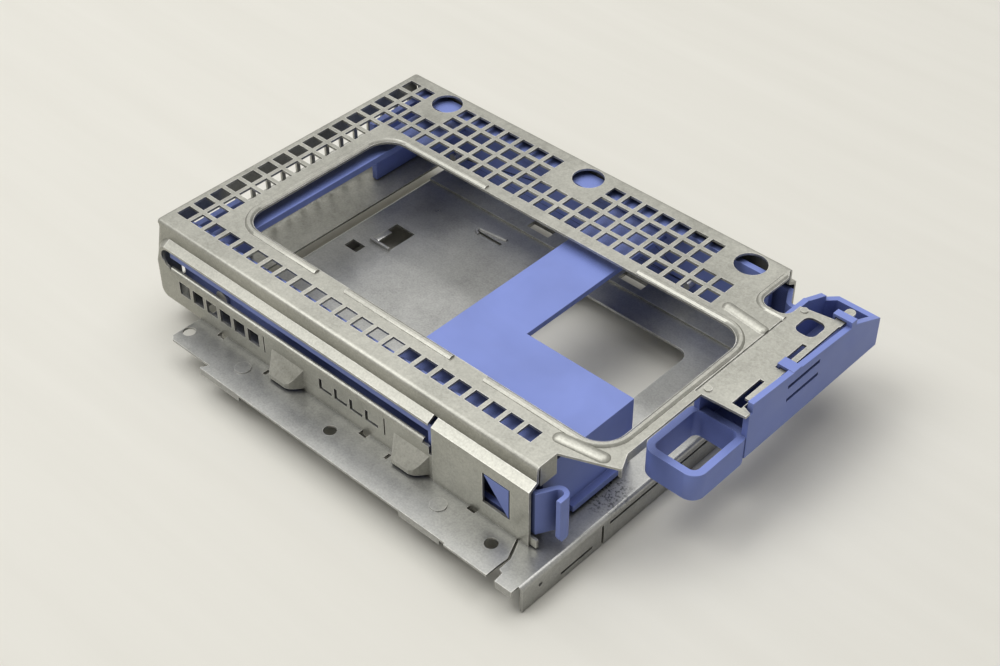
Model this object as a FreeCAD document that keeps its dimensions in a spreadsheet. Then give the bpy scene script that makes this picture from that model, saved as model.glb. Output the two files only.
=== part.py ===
import FreeCAD, Part
import math
import os
import Sketcher
from types import SimpleNamespace

os.makedirs("parts", exist_ok=True)

# All sizes in millimetres. While building, x runs along the cage, y across it and z up,
# with zero at the first square hole on the upper face of the top plate.
SIZES = {
    # Sheet, punched grid and plays
    "steel": 0.8,
    "bend": 1.4,
    "pitch": 6.5,
    "punch": 5.0,
    "grid_far": 7.5,
    "play": 0.3,
    # Drive that the bracket is made for
    "drive_wide": 101.6,
    "drive_tall": 20.0,
    "drive_hole_pitch": 101.6,
    "drive_hole_rise": 6.35,
    # Cage box
    "cage_left": -5.3,
    "cage_long": 158.8,
    "plate_near": -8.7,
    "side_room": 6.05,
    "wall_step": 2.56,
    "shelf_drop": 5.2,
    "shelf_fall": 1.6,
    "corner_low": 14.0,
    "ledge_start": 5.8,
    "end_round": 3.0,
    "cage_height": 27.6,
    # Window in the top plate and its rolled bead
    "window_left": 15.5,
    "window_over": 8.5,
    "window_near": 8.7,
    "window_far_bar": 34.0,
    "window_round": 8.0,
    "bead": 1.4,
    "bead_sink": 0.6,
    "near_flat_a": 51.0,
    "near_flat_b": 107.0,
    "near_flat_long": 12.8,
    "far_flat": 59.0,
    "far_flat_long": 62.0,
    # Right end of the top plate
    "frame_bar": 5.2,
    "corner_rise": 7.9,
    "corner_out": 2.6,
    "corner_tip": 6.3,
    "corner_top": 11.8,
    "corner_leaf": 7.6,
    "corner_skirt": 3.4,
    "corner_skirt_long": 8.0,
    "cutout_gap": 1.8,
    "cutout_long": 6.4,
    "cutout_round": 3.5,
    "lip_bead": 1.2,
    "rib": 2.45,
    "rib_sink": 1.55,
    "rib_start": 17.0,
    "rib_long": 13.4,
    "rib_near": 4.6,
    "rib_far": 6.8,
    # Tongue that carries the handle
    "tongue_lap": 1.9,
    "tongue_wide": 13.5,
    "tongue_back": 13.0,
    "tongue_long": 49.0,
    "tongue_slope": 2.3,
    "flare_out": 2.8,
    "flare_long": 3.0,
    "edge_bar": 1.85,
    "slit_wide": 1.5,
    "slit_start": 22.7,
    "slit_long": 13.3,
    "key_start": 2.9,
    "key_long": 4.0,
    "key_slit_long": 9.0,
    "finger_wide": 3.0,
    "finger_long": 9.2,
    # Punched round holes
    "port_radius": 5.25,
    "port_inset": 6.9,
    "port_a": 16.5,
    "port_b": 79.2,
    "port_c": 143.2,
    # Side walls
    "slot_inset": 3.8,
    "slot_tall": 8.2,
    "slot_lip_end": 2.5,
    "gap_end": 38.0,
    "gap_wide": 1.7,
    "gap_low": 18.5,
    "panel_out": 0.5,
    "gate_end": 6.9,
    "gate_long": 10.1,
    "gate_top": 10.8,
    "gate_tall": 11.4,
    "vent_x": 8.35,
    "vent_z": 20.0,
    "lance_x": 70.7,
    "bump_a": 49.3,
    "bump_b": 101.6,
    "bump_long": 14.0,
    "bump_top": 19.5,
    "bump_out": 4.1,
    "bump_gap": 1.0,
    "tab_a": 25.9,
    "tab_b": 89.4,
    "tab_c": 132.9,
    "tab_wide": 2.4,
    "tab_reach": 1.6,
    "tab_slot_out": 1.7,
    "end_flange": 17.3,
    "far_flange_wide": 17.96,
    "flange_hole_a": 58.2,
    "flange_hole_b": 97.8,
    "flange_hole_long": 9.4,
    "flange_hole_in": 2.8,
    "flange_hole_wide": 4.0,
    # Base plate
    "base_left": 14.6,
    "base_over": 9.0,
    "base_drop": 9.4,
    "skirt_wide": 14.94,
    "skirt_step": 2.7,
    "skirt_step_long": 17.6,
    "skirt_end_long": 17.5,
    "skirt_tab": 1.7,
    "skirt_tab_long": 18.0,
    "corner_pad": 7.5,
    "dimple_a": 39.1,
    "dimple_b": 43.8,
    "lip_inset": 2.2,
    "lip_far_inset": 7.56,
    "screw_inset": 6.44,
    "screw_mid": 81.1,
    "screw_pitch": 64.2,
    "screw_radius": 2.05,
    "floor_window_left": 84.0,
    "floor_window_long": 53.0,
    "floor_window_near": 22.0,
    "floor_window_inset": 10.0,
    "floor_window_round": 4.0,
    "lance_left": 24.9,
    "lance_long": 8.5,
    "lance_off": 4.65,
    "lance_wide": 11.7,
    "lip_slit": 33.0,
    "lip_slot_long": 44.0,
    # Carrier moulding
    "rail_left": 1.0,
    "rail_end": 3.5,
    "rail_web": 2.2,
    "rail_top": 2.6,
    "rail_return": 23.0,
    "flange_thick": 2.0,
    "flange_in": 3.2,
    "cover_top": 4.0,
    "cover_thick": 2.0,
    "bar_left": 9.0,
    "bar_long": 8.4,
    "bridge_left": 92.0,
    "bridge_long": 20.4,
    "cover_far": 32.6,
    "arm_gap": 1.0,
    "arm_end": 2.0,
    "arm_root": 4.0,
    "arm_thick": 1.7,
    "arm_top": 8.3,
    "arm_tall": 15.7,
    "barb_out": 0.6,
    "curl_reach": 4.7,
    "curl_inset": 6.06,
    "curl_out": 2.9,
    "curl_thick": 1.6,
    "curl_tail": 2.5,
    "pin_x": 20.0,
    "pin_radius": 1.4,
    "pin_reach": 2.8,
    "pin_head": 2.6,
    # Latch handle
    "handle_wide": 18.3,
    "handle_start": 3.0,
    "handle_long": 65.0,
    "handle_deep": 17.5,
    "handle_wall": 1.9,
    "handle_gap": 0.8,
    "handle_end_drop": 6.9,
    "handle_slope_long": 13.0,
    "handle_crest": 2.3,
    "handle_fall": 3.3,
    "handle_chamfer": 3.7,
    "handle_slit": 1.3,
    "loop_long": 22.2,
    "loop_out": 1.1,
    "loop_top": 9.5,
    "loop_deep": 19.0,
    "loop_wall": 2.4,
    "loop_round": 4.4,
    "clip_long": 3.8,
    "clip_thick": 1.0,
    "end_clip_long": 2.6,
}


class Size:
    """A number kept together with the sheet expression that gives it."""

    def __init__(self, value, text):
        self.value = value
        self.text = text

    def __add__(self, other):
        other = as_size(other)
        return Size(self.value + other.value, f"({self.text} + {other.text})")

    def __sub__(self, other):
        other = as_size(other)
        return Size(self.value - other.value, f"({self.text} - {other.text})")

    def __mul__(self, factor):
        factor = as_size(factor)
        return Size(self.value * factor.value, f"({self.text} * {factor.text})")

    def __truediv__(self, factor):
        factor = as_size(factor)
        return Size(self.value / factor.value, f"({self.text} / {factor.text})")

    def __neg__(self):
        return Size(-self.value, f"(0 - {self.text})")

    def __radd__(self, other):
        return as_size(other) + self

    def __rsub__(self, other):
        return as_size(other) - self

    __rmul__ = __mul__


def as_size(number):
    if isinstance(number, Size):
        return number
    return Size(number, f"({number:.6f})")


doc = FreeCAD.newDocument("hard_drive_bracket")
sheet = doc.addObject("Spreadsheet::Sheet", "sizes")
for row, (name, number) in enumerate(SIZES.items(), 1):
    sheet.set(f"A{row}", name)
    sheet.set(f"B{row}", str(number))
    sheet.setAlias(f"B{row}", name)
doc.recompute()
s = SimpleNamespace(**{name: Size(number, f"sizes.{name}") for name, number in SIZES.items()})

# Places that follow from the sizes
s.cage_right = s.cage_left + s.cage_long
s.plate_far = s.plate_near + s.drive_wide + s.side_room * 2
s.window_right = s.cage_right + s.window_over
s.window_far = s.plate_far - s.window_far_bar
s.frame_right = s.window_right + s.frame_bar
s.tongue_left = s.frame_right - s.tongue_lap
s.tongue_right = s.tongue_left + s.tongue_wide
s.tongue_far = s.plate_far - s.tongue_back
s.tongue_near = s.tongue_far - s.tongue_long
s.flare_right = s.tongue_right + s.flare_out
s.slit_x = s.tongue_right - s.edge_bar - s.slit_wide / 2
s.slit_near = s.tongue_near + s.slit_start
s.key_near = s.tongue_near + s.key_start
s.cutout_left = s.cage_right + s.cutout_gap
s.cutout_near = s.tongue_far - s.cutout_long
s.finger_left = s.tongue_right - s.finger_wide + s.play
s.finger_far = s.tongue_far + s.finger_long
s.gate_right = s.cage_right - s.gate_end
s.gate_left = s.gate_right - s.gate_long
s.gate_bottom = s.gate_top + s.gate_tall
s.slot_left = s.cage_left + s.slot_inset
s.slot_start = s.slot_left + (s.slot_tall - s.bend) / 2
s.gap_left = s.cage_right - s.gap_end
s.gap_right = s.gap_left + s.gap_wide
s.ledge_left = s.cage_left + s.ledge_start
s.base_right = s.cage_right + s.base_over
s.base_foot = s.cage_height + s.base_drop
s.rail_right = s.cage_right - s.rail_end
s.carrier_end = s.cage_right - s.steel - s.play
s.bar_right = s.bar_left + s.bar_long
s.bridge_right = s.bridge_left + s.bridge_long
s.arm_left = s.pin_x + s.drive_hole_pitch - s.pin_head - s.arm_gap - s.arm_root
s.arm_bottom = s.arm_top + s.arm_tall
s.handle_right = s.tongue_right + s.handle_gap + s.handle_wall
s.handle_left = s.handle_right - s.handle_wide
s.handle_near = s.tongue_near + s.handle_start
s.handle_far = s.handle_near + s.handle_long
s.loop_near = s.handle_near - s.loop_long
s.floor_window_right = s.floor_window_left + s.floor_window_long

TURN = {
    "x": FreeCAD.Rotation(FreeCAD.Vector(1, 1, 1), 120),
    "y": FreeCAD.Rotation(FreeCAD.Vector(1, 0, 0), 90),
    "z": FreeCAD.Rotation(),
}
ALONG = {"x": FreeCAD.Vector(1, 0, 0), "y": FreeCAD.Vector(0, 1, 0), "z": FreeCAD.Vector(0, 0, 1)}


# Building blocks, each bound to the sheet

def bind(item, prop, size):
    item.setExpression(prop, as_size(size).text)


def seat(item, x, y, z):
    for axis, place in zip("xyz", (x, y, z)):
        bind(item, f"Placement.Base.{axis}", place)


def box(x, y, z):
    item = doc.addObject("Part::Box", "block")
    for prop, (low, high) in zip(("Length", "Width", "Height"), (x, y, z)):
        bind(item, prop, as_size(high) - low)
    seat(item, x[0], y[0], z[0])
    return item


def rod(axis, radius, start, length, sweep=360, roll=0):
    """A cylinder, or a slice of one that starts at roll degrees and turns by sweep."""
    item = doc.addObject("Part::Cylinder", "rod")
    turn = TURN[axis] if axis != "y" else FreeCAD.Rotation(FreeCAD.Vector(1, 0, 0), -90)
    spin = FreeCAD.Rotation(FreeCAD.Vector(0, 0, 1), roll)
    item.Placement = FreeCAD.Placement(FreeCAD.Vector(), turn.multiply(spin))
    item.Angle = sweep
    bind(item, "Radius", radius)
    bind(item, "Height", length)
    seat(item, *start)
    return item


def closed(axis, points):
    """A closed outline, drawn across the axis."""
    sketch = doc.addObject("Sketcher::SketchObject", "outline")
    points = [(as_size(a), as_size(b)) for a, b in points]
    count = len(points)
    corners = [FreeCAD.Vector(a.value, b.value, 0) for a, b in points]
    for k in range(count):
        sketch.addGeometry(Part.LineSegment(corners[k], corners[(k + 1) % count]), False)
    for k in range(count):
        sketch.addConstraint(Sketcher.Constraint("Coincident", k, 2, (k + 1) % count, 1))
    for k, (a, b) in enumerate(points):
        for kind, place in (("DistanceX", a), ("DistanceY", b)):
            index = sketch.addConstraint(Sketcher.Constraint(kind, -1, 1, k, 1, place.value))
            bind(sketch, f"Constraints[{index}]", place)
    sketch.Placement = FreeCAD.Placement(FreeCAD.Vector(), TURN[axis])
    return sketch


def prism(axis, points, low, high):
    """A closed outline, pushed along the axis."""
    sketch = closed(axis, points)
    bind(sketch, f"Placement.Base.{axis}", low)
    solid = doc.addObject("Part::Extrusion", "prism")
    solid.Base = sketch
    solid.DirMode = "Custom"
    solid.Dir = ALONG[axis]
    solid.Solid = True
    bind(solid, "LengthFwd", as_size(high) - low)
    return solid


def join(pieces):
    item = doc.addObject("Part::MultiFuse", "joined")
    item.Shapes = pieces
    item.Refine = True
    return item


def bundle(pieces):
    item = doc.addObject("Part::Compound", "tools")
    item.Links = pieces
    return item


def cut(base, tools):
    item = doc.addObject("Part::Cut", "trimmed")
    item.Base = base
    item.Tool = tools[0] if len(tools) == 1 else bundle(tools)
    item.Refine = True
    return item


def overlap(base, tool):
    item = doc.addObject("Part::Common", "shared")
    item.Base = base
    item.Tool = tool
    return item


def ball(radius, place, low=-90, sweep=360, roll=0):
    """A ball, or a slice of one above the latitude low that turns by sweep from roll degrees."""
    item = doc.addObject("Part::Sphere", "ball")
    item.Placement.Rotation = FreeCAD.Rotation(ALONG["z"], roll)
    item.Angle1 = low
    item.Angle3 = sweep
    bind(item, "Radius", radius)
    seat(item, *place)
    return item


def dome(middle, z, thick):
    """Half a many-sided disc, the section of a rolled edge."""
    angles = [math.radians(36 * k) for k in range(6)]
    return [(middle + thick * math.cos(a), z + thick * math.sin(a)) for a in angles]


def ring(radius, thick, place, roll):
    """A rolled edge round a quarter turn, starting at roll degrees."""
    item = doc.addObject("Part::Revolution", "ring")
    item.Source = closed("y", dome(radius, as_size(0), thick))
    item.Axis = ALONG["z"]
    item.Angle = 90
    item.Solid = True
    item.Placement.Rotation = FreeCAD.Rotation(ALONG["z"], roll)
    seat(item, *place)
    return item


def ridge(axis, thick, start, length):
    """A straight rolled edge."""
    x, y, z = start
    low, middle = (x, y) if axis == "x" else (y, x)
    return prism(axis, dome(middle, z, thick), low, low + length)


def rounded(x, y, z, radius):
    """A block whose four upright edges are round."""
    slim_x = (x[0] + radius, x[1] - radius)
    slim_y = (y[0] + radius, y[1] - radius)
    pieces = [box(slim_x, y, z), box(x, slim_y, z)]
    for corner_x in slim_x:
        for corner_y in slim_y:
            pieces.append(rod("z", radius, (corner_x, corner_y, z[0]), as_size(z[1]) - z[0]))
    return join(pieces)


def fold(axis, start, length, roll, radius=s.bend):
    """A quarter of a sheet bend, starting at roll degrees round its own axis."""
    outer = rod(axis, radius, start, length, 90, roll)
    inner = rod(axis, radius - s.steel, start, length, 90, roll)
    return cut(outer, [inner])


def across(side, low, high):
    """A span across the cage, mirrored for the far side."""
    if side == "near":
        return (low, high)
    return (mirror_sum - high, mirror_sum - low)


def mirrored(side, y):
    return y if side == "near" else mirror_sum - y


mirror_sum = s.plate_near + s.plate_far
foot = -s.cage_height
wall_near = s.plate_near - s.wall_step
wall_far = mirror_sum - wall_near
far_flange = wall_far - s.far_flange_wide
flange_hole_near = far_flange + s.flange_hole_in
flange_hole_y = (flange_hole_near, flange_hole_near + s.flange_hole_wide)
skirt_near = wall_near - s.skirt_wide
skirt_end = skirt_near - 0.6
lip_near = skirt_near + s.lip_inset
lip_far = wall_far - s.lip_far_inset
screw_y = wall_near - s.screw_inset
lance_near = mirror_sum / 2 + s.lance_off
slot_top = -(s.shelf_drop + s.shelf_fall + s.steel)
slot_bottom = slot_top - s.slot_tall
sheet_span = (-s.steel, as_size(0))
through_sheet = (-s.steel - 2, as_size(3))
wall_span = (wall_near - 1, wall_near + s.steel + 1)
floor_span = (foot - s.steel, foot)
through_floor = (foot - s.steel - 1, foot + 1)


# Cage

def cage_plate():
    edge_near = s.plate_near + s.bend
    edge_far = s.plate_far - s.bend
    outline = [
        (s.cage_left + s.bend, edge_near),
        (s.cage_right, edge_near),
        (s.cage_right, s.plate_near + s.corner_rise),
        (s.frame_right + s.corner_out, s.corner_tip),
        (s.frame_right, s.corner_top),
        (s.frame_right, s.tongue_near),
        (s.flare_right, s.tongue_near + 1),
        (s.flare_right, s.tongue_near + s.flare_long),
        (s.tongue_right, s.tongue_near + s.flare_long + 1),
        (s.tongue_right, s.tongue_far + s.tongue_slope),
        (s.tongue_left, s.tongue_far),
        (s.cutout_left, s.tongue_far),
        (s.cutout_left, edge_far - 3),
        (s.cage_right, edge_far),
        (s.cage_left + s.bend, edge_far),
    ]
    return prism("z", outline, *sheet_span)


def cage_bead():
    """The rolled edge round the window, left out where the edge is flat."""
    z = -s.bead_sink
    left = s.window_left - s.bead
    right = s.window_right + s.bead
    near = s.window_near - s.bead
    far = s.window_far + s.bead
    turn = s.window_round + s.bead
    near_a = s.near_flat_a + s.near_flat_long
    near_b = s.near_flat_b + s.near_flat_long
    far_b = s.far_flat + s.far_flat_long
    runs_x = [
        (near, left + turn, s.near_flat_a),
        (near, near_a, s.near_flat_b),
        (near, near_b, right - turn),
        (far, left + turn, s.far_flat),
        (far, far_b, right - turn),
    ]
    pieces = [ridge("x", s.bead, (low, y, z), high - low) for y, low, high in runs_x]
    for x in (left, right):
        pieces.append(ridge("y", s.bead, (x, near + turn, z), far - near - turn * 2))
    corners = [(right - turn, far - turn, 0), (left + turn, far - turn, 90),
               (left + turn, near + turn, 180), (right - turn, near + turn, 270)]
    pieces += [ring(turn, s.bead, (x, y, z), roll) for x, y, roll in corners]
    return pieces


def cutout_lip():
    """The rolled edge on two sides of the far right cut-out."""
    z = -s.lip_bead / 2
    turn = s.cutout_round + s.lip_bead
    x = s.cutout_left - s.lip_bead
    y = s.cutout_near - s.lip_bead
    return [
        ring(turn, s.lip_bead, (x + turn, y + turn, z), 180),
        ridge("y", s.lip_bead, (x, y + turn, z), s.plate_far - s.bend * 3 - y - turn),
        ridge("x", s.lip_bead, (x + turn, y, z), s.tongue_left - x - turn),
    ]


def cage_rib(y, lean):
    """A broad low rib pressed beside a right corner of the window."""
    x = s.frame_right - s.rib_start
    run = math.radians(lean)
    tip = (x + s.rib_long * math.cos(run), y + s.rib_long * math.sin(run), -s.rib_sink)
    body = rod("x", s.rib, (x, y, -s.rib_sink), s.rib_long)
    body.Placement.Rotation = FreeCAD.Rotation(ALONG["z"], lean).multiply(body.Placement.Rotation)
    solid = join([body, ball(s.rib, (x, y, -s.rib_sink)), ball(s.rib, tip)])
    reach = s.rib * 3
    return overlap(solid, box((x - reach, tip[0] + reach), (y - reach, y + reach), (-s.steel, s.rib)))


def joggled(outer):
    """The section of a side wall that steps out to its lower face."""
    fall = s.shelf_drop + s.shelf_fall
    return [
        (s.plate_near, -s.bend),
        (s.plate_near, -s.shelf_drop),
        (outer, -fall),
        (outer, foot),
        (outer + s.steel, foot),
        (outer + s.steel, -fall - s.steel),
        (s.plate_near + s.steel, -s.shelf_drop - s.steel),
        (s.plate_near + s.steel, -s.bend),
    ]


def cage_wall(side):
    """A side wall: leaning left end, long slot with a rolled lip, gap and cover panel."""
    steel = s.steel
    leaning = [
        (s.plate_near, -s.bend),
        (s.plate_near, -s.shelf_drop),
        (wall_near, -s.corner_low),
        (wall_near, foot),
        (wall_near + steel, foot),
        (wall_near + steel, -s.corner_low),
        (s.plate_near + steel, -s.shelf_drop),
        (s.plate_near + steel, -s.bend),
    ]
    full = joggled(wall_near)
    shelf = full[:3] + [(wall_near, slot_top)] + full[6:]
    panel = joggled(wall_near - s.panel_out)
    runs = [
        (leaning, s.cage_left + s.bend, s.ledge_left),
        (full, s.ledge_left, s.slot_start),
        (shelf, s.slot_start, s.gap_left),
        (panel, s.gap_right, s.cage_right),
    ]
    pieces = []
    for section, low, high in runs:
        pieces.append(prism("x", [(mirrored(side, y), z) for y, z in section], low, high))
    lower = across(side, wall_near, wall_near + steel)
    gap = (s.gap_left, s.gap_right)
    pieces.append(box((s.slot_start, s.gap_left), lower, (foot, slot_bottom)))
    pieces.append(box(gap, lower, (foot, -s.gap_low)))
    pieces.append(box(gap, across(side, s.plate_near, s.plate_near + steel), (-s.shelf_drop, -s.bend)))
    lip_axis = (s.slot_start, mirrored(side, wall_near + s.bend), slot_bottom)
    lip_long = s.gap_left - s.slot_lip_end - s.slot_start
    pieces.append(fold("x", lip_axis, lip_long, 90 if side == "near" else 0))
    return pieces


def cage_end():
    """The end wall, which turns in along the foot to a flange."""
    turn = s.end_round
    y_span = (wall_near + s.bend, wall_far - s.bend)
    edge = [(s.plate_near + s.bend, -s.bend), (y_span[0], -s.corner_low), (y_span[0], foot + turn)]
    outline = edge + [(mirror_sum - y, z) for y, z in reversed(edge)]
    return [
        prism("x", outline, s.cage_left, s.cage_left + s.steel),
        fold("y", (s.cage_left + turn, y_span[0], foot + turn), y_span[1] - y_span[0], 90, turn),
        box((s.cage_left + turn, s.cage_left + s.end_flange), y_span, (foot, foot + s.steel)),
    ]


def cage_folds():
    length = s.cage_right - s.cage_left - s.bend
    y_near = s.plate_near + s.bend
    y_far = s.plate_far - s.bend
    x_left = s.cage_left + s.bend
    return [
        fold("x", (x_left, y_near, -s.bend), length, 90),
        fold("x", (x_left, y_far, -s.bend), length, 0),
        fold("y", (x_left, y_near, -s.bend), y_far - y_near, 180),
        ball(s.bend, (x_left, y_near, -s.bend), 0, 90, 180),
        ball(s.bend, (x_left, y_far, -s.bend), 0, 90, 90),
    ]


def cage_bump(x, skin):
    """A spring bump pressed out of the near wall as a wedge, or its hollow when a skin is given."""
    out = wall_near - s.bump_out + skin
    back = wall_near + s.steel + skin / 4
    top = -s.bump_top - skin * 1.5
    low = foot + s.bump_gap - skin / 4
    left = x + skin
    right = x + s.bump_long - skin
    wedge = [(back, top), (wall_near, top), (out, low + s.bump_gap * 1.5), (out, low), (back, low)]
    plan = [
        (left, back),
        (left, wall_near),
        (left + s.bump_long * 0.19, out),
        (right - s.bump_long * 0.33, out),
        (right - s.bump_long * 0.22, out + s.bump_out * 0.14),
        (right - s.bump_long * 0.13, out + s.bump_out * 0.42),
        (right, wall_near),
        (right, back),
    ]
    return overlap(prism("x", wedge, left, right), prism("z", plan, low, top))


def frame_skirt():
    """The short turned-down edge at the near end of the window's right bar."""
    far = s.corner_top + s.corner_skirt_long
    outline = [
        (s.frame_right + s.corner_out, s.corner_tip),
        (s.frame_right, s.corner_top),
        (s.frame_right, far),
        (s.frame_right - s.steel, far),
        (s.frame_right - s.steel, s.corner_top),
        (s.frame_right + s.corner_out - s.steel * 1.5, s.corner_tip),
    ]
    return prism("z", outline, -s.corner_skirt, as_size(0))


def cage_solids():
    foot_sheet = (foot, foot + s.steel)
    pieces = [cage_plate(), frame_skirt()]
    pieces += cage_wall("near") + cage_wall("far") + cage_end() + cage_folds() + cage_bead() + cutout_lip()
    pieces += [cage_rib(s.window_near - s.rib_near, 9.0), cage_rib(s.window_far + s.rib_far, -7.1)]
    pieces += [cage_bump(x, as_size(0)) for x in (s.bump_a, s.bump_b)]
    pieces.append(box((s.base_left + 1, s.cage_right), (far_flange, wall_far), foot_sheet))
    pieces.append(box((s.cage_right - s.steel, s.cage_right),
                      (s.plate_near + s.bend, s.plate_near + s.corner_rise), (-s.corner_leaf, as_size(0))))
    wall = (wall_near, wall_near + s.steel)
    for x in (s.tab_a, s.tab_b, s.tab_c):
        pieces.append(box((x - s.tab_wide / 2, x + s.tab_wide / 2), wall, (foot - s.tab_reach, foot)))
    pieces.append(box((s.cage_right, s.cage_right + 2.4), wall, (foot + 0.6, foot + 3.6)))
    finger_mid = s.finger_left + s.finger_wide / 2
    tip = s.finger_far - s.finger_wide / 2
    pieces.append(box((s.finger_left, s.finger_left + s.finger_wide), (s.tongue_far, tip), sheet_span))
    pieces.append(rod("z", s.finger_wide / 2, (finger_mid, tip, -s.steel), s.steel))
    for y in (s.tongue_near + 2.9, s.tongue_far - 0.9):
        pieces.append(rod("z", 1.2, (s.tongue_left + 2.1, y, -s.steel), s.steel + 0.4))
    return pieces


def grid_row(j):
    """Rows beyond the window keep their distance from the far edge, and the others share the rest."""
    last = s.plate_far - s.grid_far
    if j >= 12:
        return last - s.pitch * (15 - j)
    return (last - s.pitch * 3) * (j / 12)


def grid_holes():
    """The punched squares of the top plate: which columns each row keeps."""
    spare = [0, 1] + list(range(4, 11)) + list(range(14, 21))
    rows = {0: range(23), 12: range(23), 13: range(23), 14: spare, 15: spare}
    rows.update({j: (0, 1) for j in range(1, 12)})
    half = s.punch / 2
    holes = []
    for j, columns in rows.items():
        for i in columns:
            x = s.pitch * i
            y = grid_row(j)
            holes.append(box((x - half, x + half), (y - half, y + half), through_sheet))
    return holes


def end_wall_holes():
    half = s.punch / 2
    top = -s.pitch * 1.5
    holes = []
    for k in range(3):
        z = top - s.pitch * k
        for j in range(16):
            y = (s.plate_far - s.grid_far) * (j / 15)
            holes.append(box((s.cage_left - 1, s.cage_left + s.steel + 1), (y - half, y + half),
                             (z - half, z + half)))
    return holes


def side_wall_holes(side):
    wall = across(side, wall_near - 1, wall_near + s.steel * 4)
    wide = wall[1] - wall[0]
    half = (s.slot_tall - s.bend) / 2
    slot_end = rod("y", half, (s.slot_start, wall[0], slot_top - half), wide)
    gate = box((s.gate_left, s.gate_right), across(side, *wall_span), (-s.gate_bottom, -s.gate_top))
    left = s.cage_left + s.bend
    turn = s.end_round
    thin = across(side, wall_near - 1, wall_near + s.bend - s.play)
    corner = cut(box((left - 1, left + turn), thin, (foot - 1, foot + turn)),
                 [rod("y", turn, (left + turn, thin[0], foot + turn), thin[1] - thin[0])])
    return [slot_end, gate, corner]


def near_wall_holes():
    half = s.punch / 2
    holes = []
    for k in range(6):
        x = s.vent_x + s.pitch * k
        holes.append(box((x - half, x + half), wall_span, (-s.vent_z - half, -s.vent_z + half)))
    for x in (s.bump_a - 3.55, s.bump_b - 4.0):
        holes.append(box((x - 0.25, x + 0.25), wall_span, (-s.vent_z - 3.2, -s.vent_z + 3.4)))
    for k in range(4):
        x = s.lance_x + s.pitch * k
        holes.append(box((x - 0.6, x + 0.6), wall_span, (-s.vent_z - 2.3, -s.vent_z + 1.8)))
        holes.append(box((x - 0.6, x + 4.7), wall_span, (-s.vent_z - 2.3, -s.vent_z - 1.2)))
    return holes


def tongue_holes():
    slit = (s.slit_x - s.slit_wide / 2, s.slit_x + s.slit_wide / 2)
    key_far = s.key_near + s.key_long
    seam = (s.tongue_left - s.play, s.tongue_left + s.play)
    return [
        box(seam, (s.tongue_near, s.cutout_near - s.lip_bead * 2), (-s.steel / 2, as_size(1))),
        box((s.slit_x - 0.7, s.slit_x + 2.4), (s.key_near, key_far), through_sheet),
        box(slit, (key_far - 1, key_far + s.key_slit_long), through_sheet),
        box(slit, (s.slit_near, s.slit_near + s.slit_long), through_sheet),
        rounded((s.tongue_left + 4.2, s.slit_x + 0.1), (s.tongue_far - 9.7, s.tongue_far - 1.8),
                through_sheet, as_size(2.4)),
    ]


def make_cage():
    window = rounded((s.window_left, s.window_right), (s.window_near, s.window_far), sheet_span,
                     s.window_round)
    cutout = rounded((s.cutout_left, s.tongue_left), (s.cutout_near, s.plate_far), through_sheet,
                     s.cutout_round)
    plain = join(cage_solids())
    hollows = [cage_bump(x, s.steel) for x in (s.bump_a, s.bump_b)]
    ports = [rod("z", s.port_radius, (x, s.plate_far - s.port_inset, through_sheet[0]),
                 through_sheet[1] - through_sheet[0])
             for x in (s.port_a, s.port_b, s.port_c)]
    flange_cuts = [box((x, x + s.flange_hole_long), flange_hole_y, (foot - 0.5, foot + s.steel + 0.5))
                   for x in (s.flange_hole_a, s.flange_hole_b)]
    tools = [window, cutout] + grid_holes() + end_wall_holes() + ports + tongue_holes() + flange_cuts
    tools += side_wall_holes("near") + side_wall_holes("far") + near_wall_holes() + hollows
    return cut(plain, tools)


# Base plate

def base_solids():
    step_a = s.base_left + s.skirt_step_long
    step_b = s.cage_right - s.skirt_end_long
    step_y = skirt_near + s.skirt_step
    edge = s.base_right - s.bend
    pad_right = s.cage_right + s.corner_pad
    left_near = wall_near + 4
    outline = [
        (s.base_left, step_y + s.bend),
        (s.base_left + s.bend, step_y),
        (step_a + s.skirt_step / 2, step_y),
        (step_a, skirt_near),
        (step_b, skirt_near),
        (step_b, skirt_end),
        (pad_right, skirt_end),
        (pad_right, lip_near),
        (edge, lip_near),
        (edge, wall_far),
        (s.base_left + s.bend, wall_far),
        (s.base_left + s.bend, left_near),
        (s.base_left, left_near),
    ]
    pieces = [prism("z", outline, *floor_span)]
    drop = foot - s.bend
    lip_long = lip_far - lip_near
    pieces.append(fold("y", (edge, lip_near, drop), lip_long, 270))
    pieces.append(box((s.base_right - s.steel, s.base_right), (lip_near, lip_far), (-s.base_foot, drop)))
    pieces.append(fold("y", (s.base_left + s.bend, left_near, drop), lip_far - left_near, 180))
    pieces.append(box((s.base_left, s.base_left + s.steel), (left_near, lip_far), (-s.base_foot, drop)))
    tab = (floor_span[0] - s.skirt_tab, foot)
    for x, long in ((step_a, s.skirt_tab_long), (step_b - s.skirt_tab_long, s.skirt_tab_long * 0.87)):
        pieces.append(box((x, x + long), (skirt_near, skirt_near + s.steel), tab))
    pieces.append(box((s.cage_right + 1.7, pad_right), (skirt_end, skirt_end + s.steel), tab))
    for x in (s.screw_mid - s.dimple_a, s.screw_mid + s.dimple_b):
        pieces.append(rod("z", 2.6, (x, screw_y + 0.3, foot - s.steel), s.steel + 0.4))
    lance = (s.lance_left, s.lance_left + s.lance_long)
    pieces.append(box(lance, (lance_near - s.steel, lance_near), (foot - s.steel, foot + 1.2)))
    return pieces


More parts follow.
